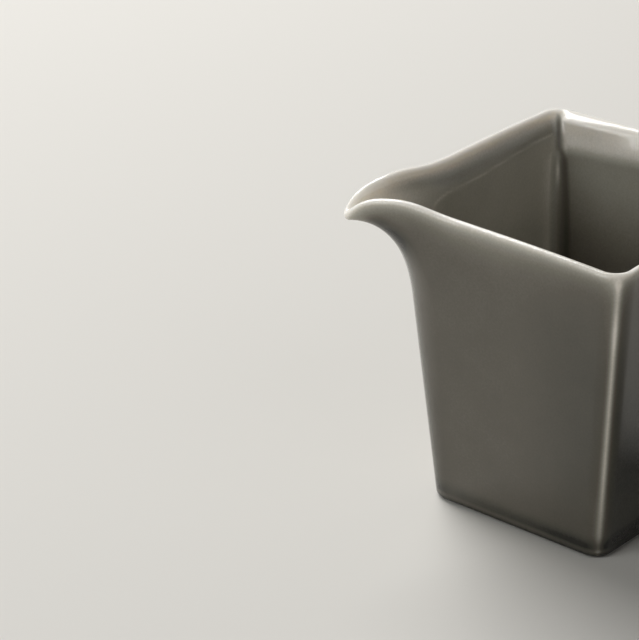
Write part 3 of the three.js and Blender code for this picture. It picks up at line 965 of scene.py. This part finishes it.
@dataclass(frozen=True)
class CeladonGlaze:
    """Grey celadon glaze on porcelain."""

    # Iron-bearing celadon glaze over white porcelain, dipped and fired in reduction. It is a
    # clear grey-green glass, so its tone follows its thickness: nearly white where it has run
    # off the lip and the edges, grey on the walls and darkest where it gathers. Light enters
    # it and comes out nearby, which softens the thin edges, and it is glossy, with a faint
    # ripple from the dip, slow clouds of tone and fine iron specks. The specks are about
    # 0.1 mm on the real one, and are drawn at 0.5 mm so that they show.
    name: str = "grey_celadon_glaze_on_porcelain"
    tones: tuple[tuple[float, str], ...] = (
        (0.0, "#f0ebe3"), (0.155, "#c2beb3"), (0.31, "#9c998e"), (0.465, "#7e796e"), (0.62, "#645f55"),
        (0.9, "#46443b"), (1.0, "#26241e"),
    )
    roughness: float = 0.1
    ior: float = 1.5
    scatter: float = 0.8
    scatter_mm: float = 2.2
    scatter_by_colour: tuple[float, float, float] = (1.0, 0.97, 0.92)
    cloud_mm: float = 9.0
    cloud_depth: float = 0.07
    speck_mm: float = 0.5
    speck_depth: float = 0.09
    ripple_mm: float = 6.0
    ripple_height_mm: float = 0.1
    ripple_strength: float = 0.12

    def make(self) -> bpy.types.Material:
        """The glaze's material, coloured by the mesh's glaze depth, which also carries the painted light
        and shade.

        The noise lies about one half, so half of what the clouds and specks can add is taken
        off again, and the tone stays the same on the whole.

        Returns:
            The material.
        """
        nodes = Nodes(bpy.data.materials.new(self.name))
        # The attribute holds the glaze depth with the painted light and shade in it
        thickness = nodes.add("ShaderNodeAttribute", {"attribute_name": "glaze", "output": "Fac"})
        place = nodes.add("ShaderNodeTexCoord", {"output": "Object"})
        clouds = nodes.add("ShaderNodeTexNoise", Vector=place, Scale=1 / (self.cloud_mm * MM), Detail=3.0)
        specks = nodes.add("ShaderNodeTexNoise", Vector=place, Scale=1 / (self.speck_mm * MM), Detail=2.0)
        add_share = {"operation": "MULTIPLY_ADD"}
        slow = nodes.add("ShaderNodeMath", add_share, i0=clouds, i1=self.cloud_depth, i2=thickness)
        fast = nodes.add("ShaderNodeMath", add_share, i0=specks, i1=self.speck_depth, i2=slow)
        mean = (self.cloud_depth + self.speck_depth) / 2
        depth = nodes.add("ShaderNodeMath", {"operation": "SUBTRACT"}, i0=fast, i1=mean)
        colour = nodes.add("ShaderNodeValToRGB", {"stops": self.tones}, Fac=depth)
        ripple = nodes.add("ShaderNodeTexNoise", Vector=place, Scale=1 / (self.ripple_mm * MM), Detail=1.0)
        bump = nodes.add(
            "ShaderNodeBump",
            Strength=self.ripple_strength,
            Distance=self.ripple_height_mm * MM,
            Height=ripple,
        )
        shader = nodes.add(
            "ShaderNodeBsdfPrincipled",
            Base_Color=colour,
            Roughness=self.roughness,
            IOR=self.ior,
            Subsurface_Weight=self.scatter,
            Subsurface_Radius=self.scatter_by_colour,
            Subsurface_Scale=self.scatter_mm * MM,
            Normal=bump,
        )
        nodes.add("ShaderNodeOutputMaterial", Surface=shader)
        return nodes.owner


@dataclass(frozen=True)
class BarePorcelain:
    """Unglazed porcelain."""

    # Fired porcelain wiped clean of glaze and rubbed with a sanding stone. It is warm white
    # and dry to the eye, with no shine, and kiln sand and use leave it faintly grained. The
    # grain is about 0.05 mm on the real one, and is drawn at 0.35 mm so that it shows.
    name: str = "bare_porcelain"
    tones: tuple[tuple[float, str], ...] = ((0.35, "#bcb09c"), (0.65, "#d9d1c2"))
    roughness: float = 0.75
    grain_mm: float = 0.35
    grain_height_mm: float = 0.05
    grain_strength: float = 0.3

    def make(self) -> bpy.types.Material:
        """The bare clay's material.

        Returns:
            The material.
        """
        nodes = Nodes(bpy.data.materials.new(self.name))
        place = nodes.add("ShaderNodeTexCoord", {"output": "Object"})
        grain = nodes.add("ShaderNodeTexNoise", Vector=place, Scale=1 / (self.grain_mm * MM), Detail=3.0)
        colour = nodes.add("ShaderNodeValToRGB", {"stops": self.tones}, Fac=grain)
        bump = nodes.add(
            "ShaderNodeBump", Strength=self.grain_strength, Distance=self.grain_height_mm * MM, Height=grain
        )
        shader = nodes.add(
            "ShaderNodeBsdfPrincipled", Base_Color=colour, Roughness=self.roughness, Normal=bump
        )
        nodes.add("ShaderNodeOutputMaterial", Surface=shader)
        return nodes.owner


def grid_mesh(name: str, rows: np.ndarray, poles: tuple[bool, bool]) -> bpy.types.Object:
    """A closed mesh from a grid whose rows are rings, capped by a pole at each end.

    Args:
        name: the object's name.
        rows: points in metres, by row and column.
        poles: whether the first and the last row are closed with a pole. Without any, the
            last row joins the first.

    Returns:
        The object, with its vertices in row order and the poles last.
    """
    count, width = rows.shape[:2]
    points = rows.reshape(-1, 3)
    here = np.arange(width)
    after = (here + 1) % width
    joins = count - 1 if any(poles) else count
    low = np.arange(joins)[:, None] * width
    high = ((np.arange(joins) + 1) % count)[:, None] * width
    quads = np.stack([low + here, low + after, high + after, high + here], axis=-1).reshape(-1, 4)
    faces = quads.tolist()
    for wanted, row, turned in ((poles[0], 0, True), (poles[1], count - 1, False)):
        if not wanted:
            continue
        pole = len(points)
        points = np.vstack([points, rows[row].mean(axis=0)])
        start = row * width
        ends = (start + after, start + here) if turned else (start + here, start + after)
        faces += np.stack([ends[0], ends[1], np.full(width, pole)], axis=-1).tolist()
    mesh = bpy.data.meshes.new(name)
    mesh.from_pydata(points.tolist(), [], faces)
    mesh.validate()
    mesh.shade_smooth()
    piece = bpy.data.objects.new(name, mesh)
    bpy.context.scene.collection.objects.link(piece)
    return piece


@dataclass
class GlazedBody:
    """The glazed jug: four walls, the floor and the spout under one glaze, with no seam."""

    form: JugForm
    axis_x: float
    outer_rows: int = 56
    flare_rows: int = 44
    lip_rows: int = 7
    edge_rows: int = 8
    floor_rows: int = 10
    first_floor_share: float = 0.02
    nodes: tuple[str, ...] = (
        "floor_slab", "front_left_wall", "front_right_wall", "back_right_wall", "back_left_wall", "spout",
        "floor_coil", "front_corner_coil", "rear_corner_coil", "back_corner_coil", "spout_corner_coil",
    )

    def surface(self) -> tuple[np.ndarray, int]:
        """The grid of the whole skin, from under the floor up, over the lip and down inside.

        Returns:
            The rows of points in millimetres, and the number of the row on top of the lip.
        """
        place = columns()[None, :]
        outside = self._outer_rows(place)
        over = np.linspace(-1, 1, 2 * self.lip_rows + 1)[1:-1, None]
        lip = self.form.lip(place + 0 * over, over + 0 * place)
        rows = np.concatenate([outside, lip, self._inner_rows(place)])
        return rows, len(outside) + len(lip) // 2

    def _floor_shares(self) -> np.ndarray:
        """How far out the rows of a flat floor lie, as shares of the way to its edge."""
        return np.linspace(self.first_floor_share, 1, self.floor_rows)[:-1, None, None]

    def _flare_levels(self) -> np.ndarray:
        """The levels of the rows above the knee, without the knee's own."""
        return np.linspace(KNEE_LEVEL, LIP_LEVEL, self.flare_rows)[1:, None]

    def _outer_rows(self, place: np.ndarray) -> np.ndarray:
        """The underside, its rounded edge and the outer face, up to the lip.

        Args:
            place: places of the columns.

        Returns:
            The rows of points, in millimetres.
        """
        form, s = self.form, self.form.sizes
        under = form.base(place, np.full((1, 1), s.foot_height), np.full((1, 1), s.base_edge_radius))
        centre = np.array([0, 0, s.foot_height])
        underside = centre + (under - centre) * self._floor_shares()
        angle = np.linspace(0, QUARTER_TURN, self.edge_rows)[:, None]
        edge_z = s.foot_height + s.base_edge_radius * (1 - np.cos(angle))
        edge = form.base(place, edge_z, s.base_edge_radius * (1 - np.sin(angle)))
        low = (s.foot_height + s.base_edge_radius) / s.knee_height
        straight = np.linspace(low, KNEE_LEVEL, self.outer_rows)[1:, None]
        outer = form.skin(place + 0 * straight, straight + 0 * place, Face.OUTER)
        flare = self._flare_levels()
        outer_flare = form.skin(place + 0 * flare, flare + 0 * place, Face.OUTER)
        return np.concatenate([underside, edge, outer, outer_flare])

    def _inner_rows(self, place: np.ndarray) -> np.ndarray:
        """The inner face down from the bevel, the fillet and the floor.

        Args:
            place: places of the columns.

        Returns:
            The rows of points, in millimetres.
        """
        form, s = self.form, self.form.sizes
        flare = self._flare_levels()
        flare_in = lerp(KNEE_LEVEL, form.bevel_level(place), flare[::-1] - KNEE_LEVEL)
        inner_flare = form.skin(place + 0 * flare, flare_in, Face.INNER)
        low = (s.floor_top + s.floor_fillet) / s.knee_height
        straight = np.linspace(low, KNEE_LEVEL, self.outer_rows)[::-1, None]
        inner = form.skin(place + 0 * straight, straight + 0 * place, Face.INNER)
        angle = np.linspace(0, QUARTER_TURN, self.edge_rows)[1:, None]
        fillet = form.floor_edge(place + 0 * angle, angle + 0 * place)
        centre = np.array([0, 0, s.floor_top])
        floor = centre + (fillet[-1:] - centre) * self._floor_shares()[::-1]
        return np.concatenate([inner_flare, inner, fillet, floor])

    def build(self) -> bpy.types.Object:
        """Builds the mesh, dresses it and puts it in the frame.

        Returns:
            The glazed body.
        """
        rows, lip_row = self.surface()
        # The depth carries the glaze's coat with the painted light and shade laid into it
        depth = GlazeAndPaintedLight().depth(Skin.measured(self.form, rows, lip_row))
        placed = rows * MM + np.array([self.axis_x, 0, 0])
        piece = grid_mesh("glazed_body", placed, (True, True))
        values = np.concatenate([depth.ravel(), [depth[0].mean(), depth[-1].mean()]])
        # The attribute carries the glaze depth with the painted light and shade
        attribute = piece.data.attributes.new("glaze", "FLOAT", "POINT")
        attribute.data.foreach_set("value", values.astype(np.float32))
        piece.data.materials.append(CeladonGlaze().make())
        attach(piece, "root")
        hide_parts(*self.nodes)
        return piece


@dataclass
class FootRing:
    """The low bare ring that the jug stands on, with its edges rubbed round."""

    form: JugForm
    axis_x: float
    inset: float = 1.9
    width: float = 3.0
    inner_radius: float = 1.6
    edge_radius: float = 0.3
    edge_points: int = 5

    def surface(self) -> np.ndarray:
        """The grid of the ring's skin, from its outer side under the floor to its inner one.

        Returns:
            The rows of points, in millimetres.
        """
        s = self.form.sizes
        turn = np.linspace(0, QUARTER_TURN, self.edge_points)
        ease = self.edge_radius
        last = self.inset + self.width
        near, far = self.inset + ease * (1 - np.cos(turn)), last - ease * (1 - np.sin(turn))
        inset = np.concatenate([[self.inset], near, far, [last]])
        falling, rising = ease * (1 - np.sin(turn)), ease * (1 - np.cos(turn))
        z = np.concatenate([[s.foot_height], falling, rising, [s.foot_height]])
        share = ((inset - self.inset) / self.width)[:, None]
        half = self.form.half_side(0.0) + self.form.half_thickness(0.0) - inset[:, None]
        sharp = lerp(s.base_corner_radius - self.inset, self.inner_radius, share)
        soft = lerp(s.soft_radius_at_base - self.inset, self.inner_radius, share)
        return self.form.outline(columns()[None, :], z[:, None], half, sharp, soft)

    def build(self) -> bpy.types.Object:
        """Builds the ring, dresses it and puts it in the frame.

        Returns:
            The foot ring.
        """
        placed = self.surface()[::-1] * MM + np.array([self.axis_x, 0, 0])
        piece = grid_mesh("bare_foot_ring", placed, (False, False))
        piece.data.materials.append(BarePorcelain().make())
        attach(piece, "root")
        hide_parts("foot_ring")
        return piece


@dataclass(frozen=True)
class Lamp:
    """A square soft lamp: its place and side in metres, its power in watts and its colour."""

    name: str
    place: tuple[float, float, float]
    side: float
    power: float
    colour: str = "#ffffff"


@dataclass
class Studio:
    """The pale floor, the soft light and the camera at the photograph's viewing angle."""

    axis_x: float

    # The camera: its lens and sensor in millimetres, its range in metres, and its three
    # directions as unit vectors
    lens: float = 195.92
    sensor: float = 36.0
    clip_range: tuple[float, float] = (0.05, 50.0)
    camera_mm: tuple[float, float, float] = (-114.821, -690.365, 383.838)
    right: tuple[float, float, float] = (0.99663397, -0.08196544, -0.00155337)
    up: tuple[float, float, float] = (0.037407, 0.43781514, 0.89828649)
    back: tuple[float, float, float] = (-0.07294836, -0.89532093, 0.43940752)

    # The floor, with half its side in metres
    board: str = "#dddad4"
    board_roughness: float = 0.9
    board_half_side: float = 6.0

    # The light: the lamps, the height in metres that they point at, and the surround as it
    # is seen and as it lights
    lamps: tuple[Lamp, ...] = (
        Lamp("window", (-0.49, 1.06, 1.09), 1.1, 28.0),
        Lamp("left_window", (-0.95, -0.59, 0.67), 0.8, 6.0, "#f7fafa"),
        Lamp("right_window", (0.54, -0.65, 0.71), 0.7, 0.6),
    )
    aim_height: float = 0.04
    seen_colour: str = "#e4e1dc"
    seen_strength: float = 1.0
    lit_colour: str = "#f2efe9"
    lit_strength: float = 0.03

    def build(self) -> None:
        """Sets the camera, the floor, the lamps and the world."""
        self._camera()
        self._floor()
        for lamp in self.lamps:
            self._light(lamp)
        self._world()
        bpy.context.scene.view_settings.view_transform = "Standard"

    def _camera(self) -> None:
        """Places the camera as it was fitted to the photograph."""
        data = bpy.data.cameras.new("camera")
        data.sensor_width = self.sensor
        data.lens = self.lens
        data.clip_start, data.clip_end = self.clip_range
        camera = bpy.data.objects.new("camera", data)
        bpy.context.scene.collection.objects.link(camera)
        rotation = Matrix([self.right, self.up, self.back]).transposed().to_4x4()
        place = Vector(self.camera_mm) * MM + Vector((self.axis_x, 0, 0))
        camera.matrix_world = Matrix.Translation(place) @ rotation
        bpy.context.scene.camera = camera

    def _floor(self) -> None:
        """Lays a wide flat floor of one pale colour."""
        mesh = bpy.data.meshes.new("floor")
        corners = self.board_half_side * np.array([(-1, -1, 0), (1, -1, 0), (1, 1, 0), (-1, 1, 0)])
        mesh.from_pydata(corners.tolist(), [], [(0, 1, 2, 3)])
        floor = bpy.data.objects.new("floor", mesh)
        bpy.context.scene.collection.objects.link(floor)
        nodes = Nodes(bpy.data.materials.new("pale_matt_board"))
        colour = hex_to_linear(self.board)
        shader = nodes.add("ShaderNodeBsdfPrincipled", Base_Color=colour, Roughness=self.board_roughness)
        nodes.add("ShaderNodeOutputMaterial", Surface=shader)
        mesh.materials.append(nodes.owner)

    def _light(self, lamp: Lamp) -> None:
        """Hangs a lamp and turns it to face the jug.

        Args:
            lamp: the lamp.
        """
        data = bpy.data.lights.new(lamp.name, "AREA")
        data.color = hex_to_linear(lamp.colour)[:3]
        data.shape = "SQUARE"
        data.size = lamp.side
        data.energy = lamp.power
        light = bpy.data.objects.new(lamp.name, data)
        light.location = lamp.place
        towards = Vector((self.axis_x, 0, self.aim_height)) - Vector(lamp.place)
        light.rotation_euler = towards.to_track_quat("-Z", "Y").to_euler()
        bpy.context.scene.collection.objects.link(light)

    def _world(self) -> None:
        """A pale surround that the camera and the gloss see, and a weaker one that lights."""
        world = bpy.data.worlds.new("studio")
        bpy.context.scene.world = world
        nodes = Nodes(world)
        camera_ray = nodes.add("ShaderNodeLightPath", {"output": "Is Camera Ray"})
        rays = camera_ray.node.outputs
        either = {"operation": "MAXIMUM"}
        seen = nodes.add("ShaderNodeMath", either, i0=camera_ray, i1=rays["Is Glossy Ray"])
        also = nodes.add("ShaderNodeMath", either, i0=seen, i1=rays["Is Transmission Ray"])
        seen_colour, lit_colour = hex_to_linear(self.seen_colour), hex_to_linear(self.lit_colour)
        shown = nodes.add("ShaderNodeBackground", Color=seen_colour, Strength=self.seen_strength)
        lit = nodes.add("ShaderNodeBackground", Color=lit_colour, Strength=self.lit_strength)
        mix = nodes.add("ShaderNodeMixShader", i0=also, i1=lit, i2=shown)
        nodes.add("ShaderNodeOutputWorld", Surface=mix)


def main() -> None:
    """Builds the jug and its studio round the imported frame."""
    logging.basicConfig(level=logging.INFO)
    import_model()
    low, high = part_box("front_corner_coil")
    axis_x = (low.x + high.x) / 2
    form = JugForm()
    for maker in (GlazedBody(form, axis_x), FootRing(form, axis_x)):
        piece = maker.build()
        LOG.info("%s: %d faces", piece.name, len(piece.data.polygons))
    Studio(axis_x).build()


if __name__ == "__main__":
    main()
